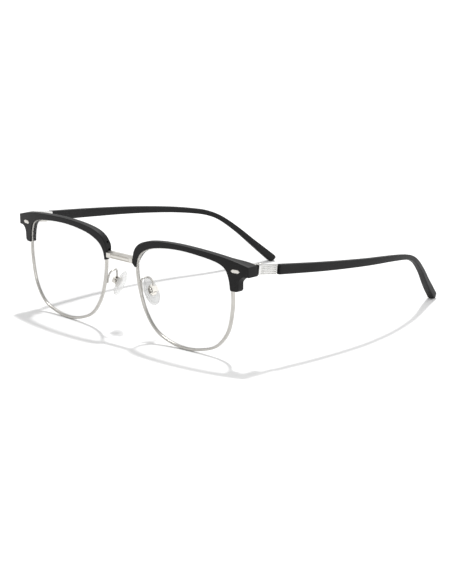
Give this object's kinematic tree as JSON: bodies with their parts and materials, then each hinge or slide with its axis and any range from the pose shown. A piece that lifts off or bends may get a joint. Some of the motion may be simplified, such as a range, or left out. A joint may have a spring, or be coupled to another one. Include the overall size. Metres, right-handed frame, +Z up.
{
  "type": "browline eyeglasses",
  "caption": "Browline eyeglasses: black brow bars and folding temples on silver metal eyewires, with clear lenses and nose pads.",
  "frame": {"origin": "middle of the bounding box seen from above, at the floor the rims and the temple tips stand on", "axes": "+X is the wearer's left, across both lenses; -Y is the way the lenses face, and the temples run back along +Y; +Z is up"},
  "size_m": [0.1504, 0.1456, 0.0453],
  "materials": {
    "black_plastic": "matt black acetate with a fine satin grain",
    "silver_metal": "bright satin nickel",
    "clear_lens": "clear, polished",
    "clear_silicone": "clear, smooth silicone"
  },
  "bodies": {
    "front": {"bridge": "silver_metal", "rim_left": "silver_metal", "lens_left": "clear_lens", "closing_block_upper_left": "silver_metal", "closing_block_lower_left": "silver_metal", "closing_screw_left": "silver_metal", "brow_left": "black_plastic", "rivet_left": "silver_metal", "brow_screw_outer_left": "silver_metal", "brow_screw_inner_left": "silver_metal", "pad_arm_left": "silver_metal", "endpiece_left": "silver_metal", "hinge_screw_left": "silver_metal", "pad_box_left": "silver_metal", "pad_screw_left": "silver_metal", "rim_right": "silver_metal", "lens_right": "clear_lens", "closing_block_upper_right": "silver_metal", "closing_block_lower_right": "silver_metal", "closing_screw_right": "silver_metal", "brow_right": "black_plastic", "rivet_right": "silver_metal", "brow_screw_outer_right": "silver_metal", "brow_screw_inner_right": "silver_metal", "pad_arm_right": "silver_metal", "endpiece_right": "silver_metal", "hinge_screw_right": "silver_metal", "pad_box_right": "silver_metal", "pad_screw_right": "silver_metal"},
    "temple_left": {"temple_left": "black_plastic", "temple_plate_left": "silver_metal"},
    "pad_left": {"nose_pad_left": "clear_silicone", "pad_insert_left": "silver_metal"},
    "temple_right": {"temple_right": "black_plastic", "temple_plate_right": "silver_metal"},
    "pad_right": {"nose_pad_right": "clear_silicone", "pad_insert_right": "silver_metal"}
  },
  "joints": [
    {"name": "temple_left_hinge", "type": "hinge", "parent": "front", "child": "temple_left", "pos_m": [0.0682, -0.05603, 0.0382], "axis": [0, 0.1392, 0.9903], "range_deg": [0, 80]},
    {"name": "temple_right_hinge", "type": "hinge", "parent": "front", "child": "temple_right", "pos_m": [-0.0682, -0.05603, 0.0382], "axis": [0, -0.1392, -0.9903], "range_deg": [0, 72]},
    {"name": "pad_left_pivot", "type": "hinge", "parent": "front", "child": "pad_left", "pos_m": [0.01188, -0.06365, 0.02051], "axis": [0.1853, 0.9781, 0.0944], "range_deg": [-8, 8]},
    {"name": "pad_right_pivot", "type": "hinge", "parent": "front", "child": "pad_right", "pos_m": [-0.01188, -0.06365, 0.02051], "axis": [0.1853, -0.9781, -0.0944], "range_deg": [-8, 8]}
  ]
}
